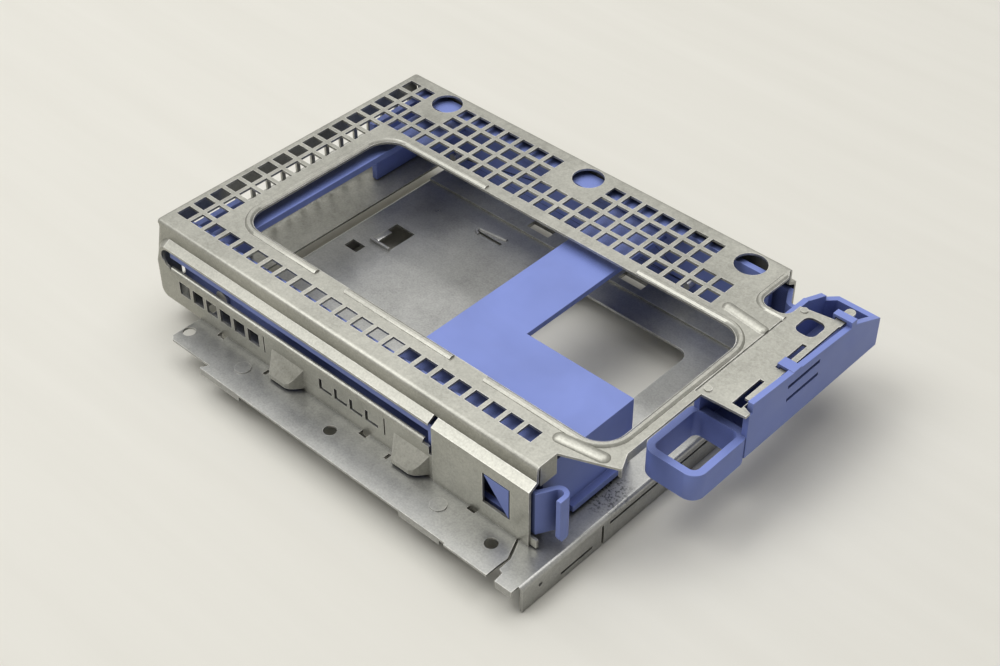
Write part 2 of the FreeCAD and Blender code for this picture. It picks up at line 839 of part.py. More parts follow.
def base_holes():
    wall = (wall_near - s.tab_slot_out, wall_near + s.steel + s.play)
    window_y = (s.floor_window_near, far_flange - s.floor_window_inset)
    holes = [rounded((s.floor_window_left, s.floor_window_right), window_y, through_floor,
                     s.floor_window_round)]
    deep = through_floor[1] - through_floor[0]
    for k in (-1, 0, 1):
        x = s.screw_mid + s.screw_pitch * k
        holes.append(rod("z", s.screw_radius, (x, screw_y, through_floor[0]), deep))
    for x in (s.flange_hole_a, s.flange_hole_b):
        holes.append(box((x, x + s.flange_hole_long), flange_hole_y, through_floor))
    for x in (s.tab_a, s.tab_b, s.tab_c):
        half = s.tab_wide / 2 + s.play
        holes.append(box((x - half, x + half), wall, through_floor))
    for x in (s.bump_a - 0.6, s.bump_b - 0.6):
        holes.append(box((x - 0.55, x + 0.55), (wall_near - 3.6, wall_near - 1.4), through_floor))
    gap = [(s.cage_right - 4.3, wall_near - 0.4), (s.cage_right - 3.5, wall_near - 0.4),
           (s.cage_right - 0.5, screw_y - 0.5), (s.cage_right - 0.3, skirt_near + 3.3),
           (s.cage_right + 1.2, skirt_near + 2.8), (s.cage_right + 1.7, skirt_near - 2),
           (s.cage_right - 1.5, skirt_near - 2), (s.cage_right - 1.5, skirt_near + 3.3),
           (s.cage_right - 1.3, screw_y - 0.9)]
    holes.append(prism("z", gap, *through_floor))
    lance = (s.lance_left, s.lance_left + s.lance_long)
    lance_far = lance_near + s.lance_wide
    holes.append(box(lance, (lance_near, lance_far), through_floor))
    holes.append(box((s.lance_left - 4.7, s.lance_left + 1.1), (lance_near - 8.1, lance_near - 3.9),
                     through_floor))
    holes.append(box((s.lance_left + 22.2, s.lance_left + 33.2), (lance_far + 14.7, lance_far + 15.9),
                     through_floor))
    lip = (s.base_right - s.steel - 1, s.base_right + 1)
    slit_y = lip_near + s.lip_slit
    holes.append(box(lip, (slit_y - 0.5, slit_y + 0.5), (-s.base_foot - 1, foot - s.bend - 0.4)))
    holes.append(box(lip, (slit_y - s.lip_slit * 0.53, slit_y - 4.2), (-s.base_foot + 2, -s.base_foot + 3)))
    holes.append(box(lip, (slit_y + 3, slit_y + 3 + s.lip_slot_long), (foot - 3.4, foot - 2.4)))
    holes.append(rod("x", 0.8, (lip[0], lip_near + 7.3, foot - 4), lip[1] - lip[0]))
    return holes


def make_base():
    return cut(join(base_solids()), base_holes())


# Drive carrier

rail_in = (mirror_sum - s.drive_wide) / 2 - s.play
rail_out = rail_in - s.rail_web
guide_out = wall_near + s.steel + s.play * 2
carrier_low = foot + s.steel + s.play
cover = (-s.cover_top - s.cover_thick, -s.cover_top)
drive_floor = cover[0] - s.drive_tall
pin_z = drive_floor + s.drive_hole_rise


def carrier_rail(side):
    run = (s.rail_left, s.rail_right)
    short = (s.rail_left, s.arm_left + s.arm_root)
    flange_out = s.plate_near + s.steel + s.play * 2
    rib_high = slot_top - 2
    return [
        box(run, across(side, rail_out, rail_in), (carrier_low, -s.rail_top)),
        box(short, across(side, flange_out, rail_in + s.flange_in),
            (-s.rail_top - s.flange_thick, -s.rail_top)),
        box(short, across(side, guide_out, rail_in), (rib_high - s.flange_thick, rib_high)),
        box((s.rail_left, s.rail_left + s.rail_web), across(side, rail_in, rail_in + s.rail_return),
            (carrier_low, -s.cover_top)),
    ]


def carrier_arm(side):
    """The spring arm with its barb in the wall's window and its curled finger tab."""
    face = (guide_out, guide_out + s.arm_thick)
    high = (-s.arm_bottom, -s.arm_top)
    end = s.cage_right - s.arm_end
    bend_cos = math.cos(math.radians(150))
    bend_sin = math.sin(math.radians(150))
    curl_in = s.curl_out - s.curl_thick
    curl_x = s.cage_right + s.curl_reach
    curl_y = wall_near + s.curl_inset
    lean = [
        (curl_x + s.curl_out * bend_cos, curl_y + s.curl_out * bend_sin),
        (curl_x + curl_in * bend_cos, curl_y + curl_in * bend_sin),
        (end + 2.6, face[0]),
        (end, face[0]),
        (end, face[1]),
        (end + 1.7, face[1]),
    ]
    lean = [(x, mirrored(side, y)) for x, y in lean]
    roll = 0 if side == "near" else 210
    tall = high[1] - high[0]
    hub = (curl_x, mirrored(side, curl_y), high[0])
    curl = cut(rod("z", s.curl_out, hub, tall, 150, roll), [rod("z", curl_in, hub, tall, 150, roll)])
    limb_end = curl_y - s.curl_tail
    taper = s.curl_tail * 0.35
    limb = [(limb_end, high[1]), (curl_y, high[1]), (curl_y, high[0]), (limb_end + taper, high[0]),
            (limb_end, high[0] + taper * 2)]
    limb = prism("x", [(mirrored(side, y), z) for y, z in limb], curl_x + curl_in, curl_x + s.curl_out)
    barb_left = s.gate_left + s.play * 2
    barb_right = s.gate_right - s.play
    barb_top = -s.gate_top - s.play
    barb_low = -s.gate_bottom + s.play
    barb = [(barb_left, barb_top), (barb_right, barb_top), (barb_right, barb_low)]
    eye_left = s.gate_left - s.arm_root
    eye_low = -s.arm_bottom + s.arm_thick
    eye = [(eye_left, barb_top - s.arm_thick), (barb_left, barb_top - s.play * 3),
           (barb_right - s.play * 3, barb_low), (barb_right - s.play * 3, eye_low), (eye_left, eye_low)]
    eye = prism("y", eye, *across(side, face[0] - 1, face[1] + 1))
    return [
        box((s.arm_left, s.arm_left + s.arm_root), across(side, face[0], rail_in), high),
        cut(box((s.arm_left, end), across(side, *face), high), [eye]),
        prism("y", barb, *across(side, wall_near - s.barb_out, face[1])),
        prism("z", lean, *high),
        curl,
        limb,
    ]


def carrier_solids():
    rail_far = mirror_sum - rail_in
    low = carrier_low
    pieces = [
        box((s.bar_left, s.bar_right), (rail_in, rail_far), (cover[0] - 0.4, cover[1])),
        box((s.bridge_left, s.bridge_right), (rail_in, rail_far), cover),
        box((s.bridge_left, s.carrier_end), (rail_in, s.cover_far), cover),
        box((s.bar_right - 4.4, s.bar_right + 8.6), (s.window_far + 7, rail_far), cover),
        box((s.carrier_end - s.rail_web, s.carrier_end), (rail_in, s.cover_far), (low, -s.cover_top)),
        box((s.rail_right - 1, s.carrier_end), (rail_out, rail_in), (low, -s.corner_leaf - s.play)),
        box((s.carrier_end, s.carrier_end + 2.3), (rail_in + 8, s.cover_far - 5.6), (low, low + 2.2)),
    ]
    for side in ("near", "far"):
        pieces += carrier_rail(side) + carrier_arm(side)
    return pieces


def pin_places():
    for side in ("near", "far"):
        for k in (0, 1):
            yield side, s.pin_x + s.drive_hole_pitch * k


def make_carrier():
    sockets = []
    for side, x in pin_places():
        low, high = across(side, rail_out - 1, rail_in + 1)
        sockets.append(rod("y", s.pin_radius, (x, low, pin_z), high - low))
    return cut(join(carrier_solids()), sockets)


def make_pins():
    """Four headed pins that stand in the rails and enter the drive's side holes."""
    pins = []
    for side, x in pin_places():
        low, high = across(side, rail_out, rail_in + s.pin_reach)
        shank = rod("y", s.pin_radius, (x, low, pin_z), high - low)
        low, high = across(side, rail_out - 1, rail_out)
        head = rod("y", s.pin_head, (x, low, pin_z), high - low)
        pins.append(join([shank, head]))
    return bundle(pins)


# Latch handle

def handle_loop():
    x = (s.handle_left - s.loop_out, s.handle_right)
    y = (s.loop_near, s.handle_near + s.loop_wall)
    z = (-s.loop_deep, -s.loop_top)
    wall = s.loop_wall
    inner_x = (x[0] + wall, x[1] - wall)
    inner_y = (y[0] + wall, y[1] - wall)
    ring = rounded(x, y, z, s.loop_round)
    eye = rounded(inner_x, inner_y, (z[0] - 1, z[1] + 1), s.loop_round - wall)
    return cut(ring, [eye])


def handle_walls():
    low = -s.handle_deep
    end_top = -s.handle_end_drop
    under = -s.steel - s.play
    flare_far = s.tongue_near + s.flare_long + 1 + s.play
    front = s.handle_near
    slope = s.handle_far - s.handle_slope_long
    outer = [(front, low), (s.handle_far, low), (s.handle_far, end_top),
             (slope, s.handle_crest - s.handle_fall), (flare_far, s.handle_crest),
             (flare_far, under), (front, under)]
    inner = [(front, low), (s.handle_far, low), (s.handle_far, end_top),
             (slope, under - 0.6), (slope - 1, under), (front, under)]
    wall = s.handle_wall
    chamfer = s.handle_chamfer
    floor = [(s.handle_left, front), (s.handle_right, front), (s.handle_right, s.handle_far),
             (s.handle_left + chamfer, s.handle_far), (s.handle_left, s.handle_far - chamfer)]
    end = [(s.handle_left + chamfer, s.handle_far), (s.handle_left, s.handle_far - chamfer),
           (s.handle_left + wall, s.handle_far - chamfer - 0.8),
           (s.handle_left + chamfer + 0.8, s.handle_far - wall)]
    return [
        prism("z", floor, low, low + wall),
        prism("x", outer, s.handle_right - wall, s.handle_right),
        cut(prism("x", inner, s.handle_left, s.handle_left + wall),
            [box((s.handle_left - 1, s.handle_left + wall + 1),
                 (s.handle_far - chamfer - 0.4, s.handle_far + 1), (low - 1, as_size(0)))]),
        box((s.handle_left + chamfer, s.handle_right), (s.handle_far - wall, s.handle_far), (low, end_top)),
        prism("z", end, low, end_top),
    ]


def handle_clips():
    """Two hooks over the tongue's outer edge, one in the long slit and one round the finger."""
    top = (s.play, s.play + s.clip_thick)
    under = -s.steel - s.play
    hook = (under - 1.0, under)
    leg = s.slit_wide - s.play * 2
    slit = (s.slit_x - leg / 2, s.slit_x + leg / 2)
    near = s.slit_near + s.play + 0.2
    clip = (near, near + s.clip_long)
    finger_side = (s.finger_left - s.play - s.clip_thick, s.finger_left - s.play)
    edge = s.tongue_far + s.tongue_slope + s.play
    end_clip = (edge, edge + s.end_clip_long)
    outer = (s.handle_right - s.handle_wall, s.handle_right)
    return [
        box(outer, clip, (-s.handle_wall, top[1])),
        box(outer, end_clip, (-s.handle_wall * 2, top[1])),
        box((slit[0], s.handle_right), clip, top),
        box(slit, clip, (hook[0], top[1])),
        box((slit[0], slit[1] + 1.0), clip, hook),
        box((finger_side[0], s.handle_right), end_clip, top),
        box(finger_side, end_clip, (hook[0], top[1])),
        box((finger_side[0], finger_side[1] + 1.2), end_clip, hook),
    ]


def make_handle():
    wall = (s.handle_right - s.handle_wall - 1, s.handle_right + 1)
    half = s.handle_slit / 2
    slits = [box(wall, (s.slit_near - 1.5, s.slit_near + s.slit_long + 0.5), (-z - half, half - z))
             for z in (s.handle_wall * 1.6, s.handle_wall * 4.2)]
    return cut(join([handle_loop()] + handle_walls() + handle_clips()), slits)


# Sub-parts, moved so that the part stands on z = 0 about its own middle

shift = (
    -(s.cage_left + s.flare_right) / 2,
    -(skirt_end + s.handle_far) / 2,
    s.base_foot,
)
subparts = {
    "cage": make_cage(),
    "base_plate": make_base(),
    "drive_carrier": make_carrier(),
    "drive_pins": make_pins(),
    "latch_handle": make_handle(),
}
for node, item in subparts.items():
    item.Label = node
    seat(item, *shift)
doc.recompute()

for item in doc.Objects:
    if "Invalid" in item.State or "Error" in item.State:
        raise RuntimeError(f"{item.Name} ({item.Label}) did not build")
for node, item in subparts.items():
    if item.Shape.isNull() or not item.Shape.isValid():
        raise RuntimeError(f"{node} has no sound shape")
    item.Shape.exportStep(f"parts/{node}.step")
    print(node, len(item.Shape.Solids), "solids", round(item.Shape.Volume), "cubic mm", item.Shape.BoundBox)
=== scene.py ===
import math

import bmesh
import bpy
from mathutils import Matrix, Vector


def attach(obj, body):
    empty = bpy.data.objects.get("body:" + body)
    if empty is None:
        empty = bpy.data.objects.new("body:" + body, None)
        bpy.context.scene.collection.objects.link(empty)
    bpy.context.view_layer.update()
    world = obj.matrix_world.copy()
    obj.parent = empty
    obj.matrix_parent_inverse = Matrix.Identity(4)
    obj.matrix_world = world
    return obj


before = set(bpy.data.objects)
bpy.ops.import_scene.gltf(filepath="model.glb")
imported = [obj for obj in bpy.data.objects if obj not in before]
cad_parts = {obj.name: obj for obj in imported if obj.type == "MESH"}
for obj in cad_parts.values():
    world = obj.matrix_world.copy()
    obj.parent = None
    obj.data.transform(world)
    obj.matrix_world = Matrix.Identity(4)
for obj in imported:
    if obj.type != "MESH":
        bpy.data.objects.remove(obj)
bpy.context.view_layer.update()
scene = bpy.context.scene

# Camera, solved from the punched square grid
CAMERA_PLACE = Vector((0.26884, -0.28241, 0.35311))
CAMERA_RIGHT = Vector((0.73157082, 0.68176242, -0.00203406))
CAMERA_FORWARD = Vector((-0.51460504, 0.55023928, -0.65758527))
CAMERA_LENS = 60.787
SENSOR_WIDE = 36.0
CLIP_NEAR, CLIP_FAR = 0.01, 20

# Lamps as name, place, size and power, and the point that they shine at
LAMPS = [
    ("key", (-0.2, 0.36, 1.5), 1.7, 16.0),
    ("side", (-0.62, -0.66, 1.45), 1.0, 11.5),
]
LAMP_AIM = Vector((0, 0, 0.02))

# Surroundings: the light that they give, and what the camera and reflections see
WORLD_LIGHT, WORLD_POWER = (1.0, 0.985, 0.95, 1), 0.22
WORLD_PALE = (0.66, 0.65, 0.63, 1)

# Table: size, level, the colours of its grain, and the colour that it throws back
TABLE_SIZE, TABLE_LEVEL = 30, -0.0002
TABLE_DARK = (0.775, 0.757, 0.69)
TABLE_LIGHT = (0.8, 0.783, 0.717)
TABLE_DULL = (0.55, 0.54, 0.5, 1)
TABLE_ROUGH, TABLE_SHINE = 0.6, 0.2
TABLE_GRAIN = dict(scale=6, detail=4.0, rough=0.5, stretch=(1, 14, 1))

# Zinc-coated steel: colours, and the noise of each layer of its grain
CAGE_DARK, CAGE_LIGHT = (0.27, 0.268, 0.236), (0.455, 0.45, 0.4)
BASE_DARK, BASE_LIGHT = (0.27, 0.272, 0.262), (0.45, 0.45, 0.43)
RUBBED_ZINC = (0.78, 0.77, 0.73)
ZINC_METAL = 0.75
CRYSTAL = dict(scale=620, stretch=(1.0, 0.8, 1.0))
CLOUD = dict(scale=38, detail=5.0, rough=0.62, distort=0.5)
ROLLED = dict(scale=60, detail=3.0, rough=0.6, stretch=(0.25, 12, 4))
SPECK = dict(scale=1500, detail=2.0, rough=0.65)
SCRATCH = dict(scale=140, detail=4.0, rough=0.7, stretch=(0.35, 9, 3), distort=0.8)
PITTED = dict(scale=1150, detail=3.0, rough=0.7)
RUBBED = dict(scale=350, detail=2.0)
PITS = dict(scale=2600, detail=2.0, rough=0.6)
CLOUD_SHARE, ROLLED_SHARE, SPECK_SHARE = 0.75, 0.15, 0.14
GLOSS_SPAN = 0.16
# Painted shade in the steel's corners and hollows: how far it reaches and how strong it gets
CORNER_SHADE_REACH, CORNER_SHADE_MOST = 0.0025, 0.7
ZINC_RUB = 0.0006

# Pitted patch on the base: its middle and reach
SCUFF = ((0.0665, -0.0245, 0.0104), 0.0105)

# Blue plastic: colours, noise, and how far painted shade reaches into its hollows in the carrier and in the
# handle; the handle's reaches further and darkens it more
BLUE, BLUE_PALE = (0.215, 0.28, 0.66), (0.45, 0.52, 0.82)
FLOW = dict(scale=35, detail=3.0, rough=0.55, distort=0.3)
WORN = dict(scale=260, detail=2.0)
SATIN = dict(scale=90, detail=3.0)
GRAIN = dict(scale=3200, detail=2.0, rough=0.6)
CARRIER_SHADE_REACH, HANDLE_SHADE_REACH = 0.007, 0.014
SHADE_MOST, SHADE_COLOUR = 0.85, 0.16
PLASTIC_RUB = 0.0005
PLASTIC_SHINE = 0.45

# Pin steel
PIN_DARK, PIN_LIGHT = (0.5, 0.5, 0.5), (0.68, 0.68, 0.67)
RINGS = dict(scale=900, detail=2.0, rough=0.5, stretch=(0.2, 3, 0.2))

# Samples of the edge and corner finders
EDGE_SAMPLES, CORNER_SAMPLES = 4, 6

# Edge rounding of the sheet and of the mouldings, and what counts as an edge
SHEET_ROUND, MOULD_ROUND = 0.00012, 0.00028
ROUND_STEPS = 2
ROUND_ANGLE, SMOOTH_ANGLE = math.radians(40), math.radians(35)
WELD_REACH, MERGE_REACH = 0.000002, 1e-7

# Tops of the cage's plate and of the base's floor, and the sum of mirrored places across the cage
PLATE_TOP, FLOOR_TOP = 0.037, 0.0094
MIRROR = 0.0121

# Leaning end of the near wall: its front above LEAN_TOP and below LEAN_LOW
PLATE_EDGE, WALL_FRONT = -0.0508, -0.05336
LEAN_TOP, LEAN_LOW = 0.0318, 0.023

# Rim round a slot's left end: middle x, half length, half height and first turn of its three edges
SLOT_EDGE = (-0.08625, 0.0034, 0.0034, 114.3)
RIM_FRONT = (-0.08765, 0.0029, 0.0042, 90)
RIM_FOOT = (-0.08765, 0.0044, 0.0058, 90)
RIM_MIDDLE = 0.026
RIM_END, RIM_STEPS = 226, 28

# Share of the rim after which it dives into the wall, and how far its foot and back lie in the wall
RIM_DIVE = 0.7
RIM_SINK, RIM_FOOT_SINK, RIM_BACK_SINK = 0.0004, 0.00004, 0.0006

# Raised edge of the spring cut in the floor: its line, half width, height and section
SPRING_LINE = [
    (-0.0394, 0.0367), (-0.0408, 0.0374), (-0.0413, 0.0384), (-0.0407, 0.0393), (-0.0300, 0.0406),
]
SPRING_HALF, SPRING_TALL = 0.00055, 0.0006
SPRING_SECTION = [(-1, -0.3), (-1, 0.3), (-0.5, 0.9), (0.5, 0.9), (1, 0.3), (1, -0.3)]

# Leaf bent up over the larger floor opening: middle line, thickness, and (y, share of it) along the leaf
LEAF_LINE = [
    (-0.0636, 0.0092), (-0.0630, 0.0098), (-0.0622, 0.0103), (-0.0611, 0.0105), (-0.0600, 0.0103),
]
LEAF_THICK = 0.0006
LEAF_ENDS = [(0.0109, 0.4), (0.0113, 1.0), (0.0166, 1.0), (0.0170, 0.4)]

# Rib pressed beside the window's near right corner: ends, half width, height, slope and steps
RIB_ENDS = (Vector((0.06205, -0.0380)), Vector((0.07526, -0.0359)))
RIB_HALF, RIB_TALL, RIB_SLOPE = 0.0021, 0.00105, 0.75
RIB_RINGS, RIB_TURN = 8, 12


def times(colour, share):
    """A colour made darker or lighter."""
    return tuple(min(1.0, share * part) for part in colour)


class Nodes:
    """The nodes of a new material or world, with short ways to add and link them."""

    def __init__(self, owner):
        owner.use_nodes = True
        self.owner = owner
        self.tree = owner.node_tree

    @property
    def shader(self):
        """The main shader of a material."""
        return self.tree.nodes["Principled BSDF"]

    def add(self, kind, inputs=None, **settings):
        """A new node with its settings and socket values."""
        node = self.tree.nodes.new("ShaderNode" + kind)
        for name, value in settings.items():
            setattr(node, name, value)
        for name, value in (inputs or {}).items():
            node.inputs[name].default_value = value
        return node

    def link(self, source, target):
        self.tree.links.new(source, target)

    def feed(self, value, socket):
        """Link an output to a socket, or set the socket to a number or colour."""
        if isinstance(value, bpy.types.NodeSocket):
            self.link(value, socket)
        else:
            socket.default_value = (*value, 1) if isinstance(value, tuple) else value

    def place(self, stretch=(1, 1, 1)):
        """Object coordinates, stretched."""
        mapping = self.add("Mapping", {"Scale": stretch})
        self.link(self.add("TexCoord").outputs["Object"], mapping.inputs["Vector"])
        return mapping.outputs["Vector"]

    def noise(self, scale, detail, rough=0.55, stretch=(1, 1, 1), distort=0.0):
        values = {"Scale": scale, "Detail": detail, "Roughness": rough, "Distortion": distort}
        node = self.add("TexNoise", values)
        self.link(self.place(stretch), node.inputs["Vector"])
        return node.outputs["Fac"]

    def cells(self, scale, stretch):
        """A random grey per crystal."""
        node = self.add("TexVoronoi", {"Scale": scale})
        self.link(self.place(stretch), node.inputs["Vector"])
        grey = self.add("RGBToBW")
        self.link(node.outputs["Color"], grey.inputs["Color"])
        return grey.outputs["Val"]

    def ramp(self, source, *stops):
        """Colours at two places of a value, blended between them."""
        node = self.add("ValToRGB")
        for point, (place, colour) in zip(node.color_ramp.elements, stops):
            point.position = place
            point.color = (*colour, 1)
        self.link(source, node.inputs["Fac"])
        return node.outputs["Color"]

    def spread(self, source, low, high, start, end):
        """source from start to end becomes low to high."""
        node = self.add("MapRange", {"From Min": start, "From Max": end, "To Min": low, "To Max": high})
        self.link(source, node.inputs["Value"])
        return node.outputs["Result"]

    def maths(self, kind, first, second):
        node = self.add("Math", operation=kind)
        for value, socket in zip((first, second), node.inputs):
            self.feed(value, socket)
        return node.outputs["Value"]

    def blend(self, factor, first, second):
        """first where factor is 0, second where it is 1."""
        node = self.add("Mix", data_type="RGBA")
        for value, socket in zip((factor, first, second), (node.inputs[0], node.inputs[6], node.inputs[7])):
            self.feed(value, socket)
        return node.outputs[2]

    def edges(self, radius, start, end):
        """1 on worn outer edges, 0 on flats."""
        bevel = self.add("Bevel", {"Radius": radius}, samples=EDGE_SAMPLES)
        dot = self.add("VectorMath", operation="DOT_PRODUCT")
        self.link(bevel.outputs["Normal"], dot.inputs[0])
        self.link(self.add("NewGeometry").outputs["Normal"], dot.inputs[1])
        return self.spread(dot.outputs["Value"], 1.0, 0.0, start, end)

    def near(self, centre, reach):
        """1 at a place on the part, fading to 0 at reach."""
        node = self.add("VectorMath", operation="DISTANCE")
        node.inputs[1].default_value = centre
        self.link(self.place(), node.inputs[0])
        return self.spread(node.outputs["Value"], 1.0, 0.0, reach / 2, reach)

    def hollows(self, reach, most):
        """Painted shade: most in tight corners, 0 on open faces."""
        node = self.add("AmbientOcclusion", {"Distance": reach}, samples=CORNER_SAMPLES)
        return self.spread(node.outputs["AO"], most, 0.0, 0.25, 0.85)

    def bump(self, height, distance, strength, below=None):
        node = self.add("Bump", {"Distance": distance, "Strength": strength})
        self.link(height, node.inputs["Height"])
        if below is not None:
            self.link(below, node.inputs["Normal"])
        return node.outputs["Normal"]

    def finish(self, colour, rough, normal):
        """The finished material."""
        for value, name in ((colour, "Base Color"), (rough, "Roughness"), (normal, "Normal")):
            self.link(value, self.shader.inputs[name])
        return self.owner

    def split(self, lighting, shown, output):
        """Surface that lights the part one way and is shown to the camera and in reflections another way."""
        path = self.add("LightPath")
        seen = path.outputs["Is Camera Ray"]
        for ray in ("Is Glossy Ray", "Is Transmission Ray"):
            seen = self.maths("MAXIMUM", seen, path.outputs[ray])
        mix = self.add("MixShader")
        for value, socket in zip((seen, lighting, shown), mix.inputs):
            self.link(value, socket)
        self.link(mix.outputs["Shader"], self.tree.nodes[output].inputs["Surface"])


def galvanised(name, dark, light, mottle, gloss, scuff=None):
    """Zinc-coated sheet: crystal mottle, rolling lines, scratches, painted shade in its corners and rubbed
    edges.
    """
    n = Nodes(bpy.data.materials.new(name))
    crystal = n.maths("MULTIPLY", n.cells(**CRYSTAL), mottle)
    cloud = n.maths("MULTIPLY", n.noise(**CLOUD), CLOUD_SHARE)
    rolled = n.noise(**ROLLED)
    tone = n.maths("ADD", crystal, cloud)
    tone = n.maths("ADD", tone, n.maths("MULTIPLY", rolled, ROLLED_SHARE))
    rough = n.spread(tone, gloss, gloss + GLOSS_SPAN, 0.2, 0.8)
    tone = n.maths("ADD", tone, n.spread(n.noise(**SPECK), -SPECK_SHARE, SPECK_SHARE, 0.3, 0.7))
    colour = n.ramp(tone, (0.2, dark), (0.75, light))
    # Painted shade: corners and hollows blended towards a darker copy of the steel
    colour = n.blend(n.hollows(CORNER_SHADE_REACH, CORNER_SHADE_MOST), colour, times(dark, 0.3))
    scratch = n.spread(n.noise(**SCRATCH), 0.0, 0.35, 0.66, 0.74)
    colour = n.blend(scratch, colour, times(light, 1.25))
    if scuff:
        pitted = n.spread(n.noise(**PITTED), 0.0, 0.8, 0.5, 0.6)
        colour = n.blend(n.maths("MULTIPLY", pitted, n.near(*scuff)), colour, times(dark, 0.12))
    patchy = n.spread(n.noise(**RUBBED), 0.2, 0.9, 0.35, 0.65)
    rub = n.maths("MULTIPLY", n.edges(ZINC_RUB, 0.75, 0.99), patchy)
    colour = n.blend(rub, colour, RUBBED_ZINC)
    normal = n.bump(rolled, 0.00002, 0.5)
    normal = n.bump(n.noise(**PITS), 0.00001, 0.5, normal)
    n.shader.inputs["Metallic"].default_value = ZINC_METAL
    return n.finish(colour, rough, normal)


def moulded(name, base, pale, shade_reach):
    """Moulded plastic: fine grain, flow marks, paler rubbed edges, and painted shade darkening its hollows
    as far as the given reach.
    """
    n = Nodes(bpy.data.materials.new(name))
    colour = n.ramp(n.noise(**FLOW), (0.3, times(base, 0.9)), (0.7, times(base, 1.08)))
    # Painted shade: hollows blended towards a dark copy of the blue
    colour = n.blend(n.hollows(shade_reach, SHADE_MOST), colour, times(base, SHADE_COLOUR))
    patchy = n.spread(n.noise(**WORN), 0.05, 0.5, 0.4, 0.7)
    rub = n.maths("MULTIPLY", n.edges(PLASTIC_RUB, 0.7, 0.99), patchy)
    colour = n.blend(rub, colour, pale)
    rough = n.spread(n.noise(**SATIN), 0.42, 0.56, 0.3, 0.7)
    normal = n.bump(n.noise(**GRAIN), 0.000012, 0.6)
    n.shader.inputs["Specular IOR Level"].default_value = PLASTIC_SHINE
    return n.finish(colour, rough, normal)


def turned(name):
    """Turned pin steel with fine rings."""
    n = Nodes(bpy.data.materials.new(name))
    rings = n.noise(**RINGS)
    colour = n.ramp(rings, (0.3, PIN_DARK), (0.7, PIN_LIGHT))
    rough = n.spread(rings, 0.25, 0.4, 0.3, 0.7)
    normal = n.bump(rings, 0.00001, 0.5)
    n.shader.inputs["Metallic"].default_value = 1.0
    return n.finish(colour, rough, normal)


def dress(node, material, width):
    """Give a solid its material and small rounded edges."""
    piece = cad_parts[node]
    piece.data.materials.clear()
    piece.data.materials.append(material)
    weld = piece.modifiers.new("weld", "WELD")
    weld.merge_threshold = WELD_REACH
    bevel = piece.modifiers.new("edges", "BEVEL")
    bevel.width = width
    bevel.segments = ROUND_STEPS
    bevel.limit_method = "ANGLE"
    bevel.angle_limit = ROUND_ANGLE
    bevel.use_clamp_overlap = True
    bevel.harden_normals = True


def add_piece(name, mesh, material):
    """Turn a mesh in making into a piece of the bracket."""
    bmesh.ops.remove_doubles(mesh, verts=mesh.verts, dist=MERGE_REACH)
    bmesh.ops.recalc_face_normals(mesh, faces=mesh.faces)
    data = bpy.data.meshes.new(name)
    mesh.to_mesh(data)
    mesh.free()
    for face in data.polygons:
        face.use_smooth = True
    data.set_sharp_from_angle(angle=SMOOTH_ANGLE)
    piece = bpy.data.objects.new(name, data)
    scene.collection.objects.link(piece)
    data.materials.append(material)
    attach(piece, "bracket")


def sweep(sections):
    """A closed skin through sections of equal length, capped at both ends."""
    mesh = bmesh.new()
    rows = [[mesh.verts.new(point) for point in section] for section in sections]
    count = len(rows[0])
    for first, second in zip(rows, rows[1:]):
        for k in range(count):
            after = (k + 1) % count
            mesh.faces.new((first[k], first[after], second[after], second[k]))
    mesh.faces.new(reversed(rows[0]))
    mesh.faces.new(rows[-1])
    return mesh


def leaning(z):
    """Front of the near wall's leaning end at a height."""
    share = min(1, max(0, (LEAN_TOP - z) / (LEAN_TOP - LEAN_LOW)))
    return PLATE_EDGE + share * (WALL_FRONT - PLATE_EDGE)


def rim_place(edge, share):
    """Where an edge of the rim is at a share of its way round the slot's end."""
    middle, half_long, half_tall, first = edge
    turn = math.radians(first + (RIM_END - first) * share)
    return middle + half_long * math.cos(turn), RIM_MIDDLE + half_tall * math.sin(turn)


def make_rim(name, far):
    """The wall drawn out round the left end of a slot, as the ledge is above it."""
    sections = []
    for k in range(RIM_STEPS + 1):
        share = k / RIM_STEPS
        (edge_x, edge_z), (front_x, front_z), (foot_x, foot_z) = [
            rim_place(edge, share) for edge in (SLOT_EDGE, RIM_FRONT, RIM_FOOT)
        ]
        dive = max(0, (share - RIM_DIVE) / (1 - RIM_DIVE)) ** 2
        front_y, edge_y = [
            WALL_FRONT + dive * (leaning(z) + RIM_SINK - WALL_FRONT) for z in (front_z, edge_z)
        ]
        points = [
            (foot_x, leaning(foot_z) + RIM_FOOT_SINK, foot_z),
            (front_x, front_y, front_z),
            (edge_x, edge_y, edge_z),
            (edge_x, leaning(edge_z) + RIM_BACK_SINK, edge_z),
            (foot_x, leaning(foot_z) + RIM_BACK_SINK, foot_z),
        ]
        if far:
            points = [(x, MIRROR - y, z) for x, y, z in points]
        sections.append(points)
    add_piece(name, sweep(sections), cage_steel)


def make_spring():
    """The bright raised edge round the spring cut in the floor."""
    sections = []
    line = [Vector(point) for point in SPRING_LINE]
    for k, point in enumerate(line):
        way = (line[min(k + 1, len(line) - 1)] - line[max(k - 1, 0)]).normalized()
        beside = Vector((-way.y, way.x)) * SPRING_HALF
        sections.append([
            (*(point + beside * out), FLOOR_TOP + SPRING_TALL * rise) for out, rise in SPRING_SECTION
        ])
    add_piece("floor_spring", sweep(sections), base_steel)


def make_leaf():
    """The leaf bent up over the larger opening in the floor."""
    sections = []
    for y, share in LEAF_ENDS:
        half = LEAF_THICK / 2 * share
        upper = [(x, y, z + half) for x, z in LEAF_LINE]
        lower = [(x, y, z - half) for x, z in reversed(LEAF_LINE)]
        sections.append(upper + lower)
    add_piece("floor_leaf", sweep(sections), base_steel)


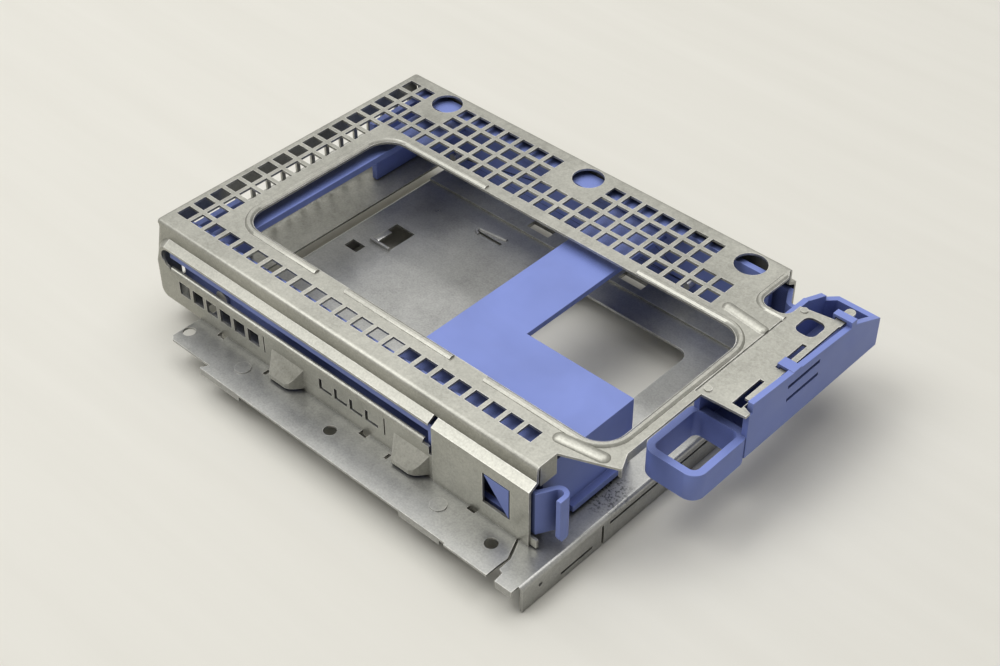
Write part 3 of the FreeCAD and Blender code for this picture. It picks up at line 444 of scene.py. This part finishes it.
def make_rib():
    """A smooth closed ridge on the plate, rounded at both ends."""
    start, end = RIB_ENDS
    along = (end - start).normalized()
    beside = Vector((-along.y, along.x))
    outline = []
    for base, quarter in ((end, -1), (start, 1)):
        for k in range(RIB_TURN + 1):
            turn = math.pi * k / RIB_TURN + quarter * math.pi / 2
            outline.append((base, along * math.cos(turn) + beside * math.sin(turn)))
    steps = [(1, -RIB_TALL / 2)]
    for k in range(RIB_RINGS + 1):
        out = math.cos(math.pi / 2 * k / RIB_RINGS)
        steps.append((out, RIB_TALL * (1 - out ** 2) ** RIB_SLOPE))
    sections = []
    for out, rise in steps:
        places = [base + way * RIB_HALF * out for base, way in outline]
        sections.append([(*place, PLATE_TOP + rise) for place in places])
    add_piece("near_rib", sweep(sections), cage_steel)


def make_camera():
    data = bpy.data.cameras.new("camera")
    data.sensor_fit = "HORIZONTAL"
    data.sensor_width = SENSOR_WIDE
    data.lens = CAMERA_LENS
    data.clip_start = CLIP_NEAR
    data.clip_end = CLIP_FAR
    camera = bpy.data.objects.new("camera", data)
    scene.collection.objects.link(camera)
    right = CAMERA_RIGHT.normalized()
    back = -CAMERA_FORWARD.normalized()
    up = back.cross(right)
    turn = Matrix((right, up, back)).transposed().to_4x4()
    camera.matrix_world = Matrix.Translation(CAMERA_PLACE) @ turn
    scene.camera = camera


def make_floor():
    """Pale table under the object."""
    bpy.ops.mesh.primitive_plane_add(size=TABLE_SIZE, location=(0, 0, TABLE_LEVEL))
    floor = bpy.context.object
    floor.name = "floor"
    n = Nodes(bpy.data.materials.new("floor"))
    colour = n.ramp(n.noise(**TABLE_GRAIN), (0.3, TABLE_DARK), (0.7, TABLE_LIGHT))
    n.link(colour, n.shader.inputs["Base Color"])
    n.shader.inputs["Roughness"].default_value = TABLE_ROUGH
    n.shader.inputs["Specular IOR Level"].default_value = TABLE_SHINE
    dull = n.add("BsdfDiffuse", {"Color": TABLE_DULL})
    n.split(dull.outputs["BSDF"], n.shader.outputs["BSDF"], "Material Output")
    floor.data.materials.append(n.owner)


def make_light():
    """A broad soft lamp overhead and a smaller one from the left."""
    for name, place, size, power in LAMPS:
        data = bpy.data.lights.new(name, "AREA")
        data.shape = "SQUARE"
        data.size = size
        data.energy = power
        lamp = bpy.data.objects.new(name, data)
        scene.collection.objects.link(lamp)
        lamp.location = place
        aim = LAMP_AIM - Vector(place)
        lamp.rotation_euler = aim.to_track_quat("-Z", "Y").to_euler()


def make_world():
    """Even weak light all round, shown pale to the camera and in reflections."""
    n = Nodes(bpy.data.worlds.new("world"))
    scene.world = n.owner
    light = n.tree.nodes["Background"]
    light.inputs["Color"].default_value = WORLD_LIGHT
    light.inputs["Strength"].default_value = WORLD_POWER
    pale = n.add("Background", {"Color": WORLD_PALE, "Strength": 1.0})
    n.split(light.outputs["Background"], pale.outputs["Background"], "World Output")


cage_steel = galvanised("cage_steel", CAGE_DARK, CAGE_LIGHT, mottle=0.16, gloss=0.34)
base_steel = galvanised("base_steel", BASE_DARK, BASE_LIGHT, mottle=0.12, gloss=0.24, scuff=SCUFF)
# Carrier and handle are one blue plastic; the handle's copy has painted shade reaching further into its
# hollows, so it renders darker
blue_plastic = moulded("blue_plastic", BLUE, BLUE_PALE, CARRIER_SHADE_REACH)
handle_plastic = moulded("handle_plastic", BLUE, BLUE_PALE, HANDLE_SHADE_REACH)
pin_steel = turned("pin_steel")

dress("cage", cage_steel, SHEET_ROUND)
dress("base_plate", base_steel, SHEET_ROUND)
dress("drive_carrier", blue_plastic, MOULD_ROUND)
dress("latch_handle", handle_plastic, MOULD_ROUND)
dress("drive_pins", pin_steel, SHEET_ROUND)

make_rim("near_slot_rim", False)
make_rim("far_slot_rim", True)
make_spring()
make_leaf()
make_rib()

make_camera()
make_floor()
make_light()
make_world()
scene.view_settings.view_transform = "Standard"
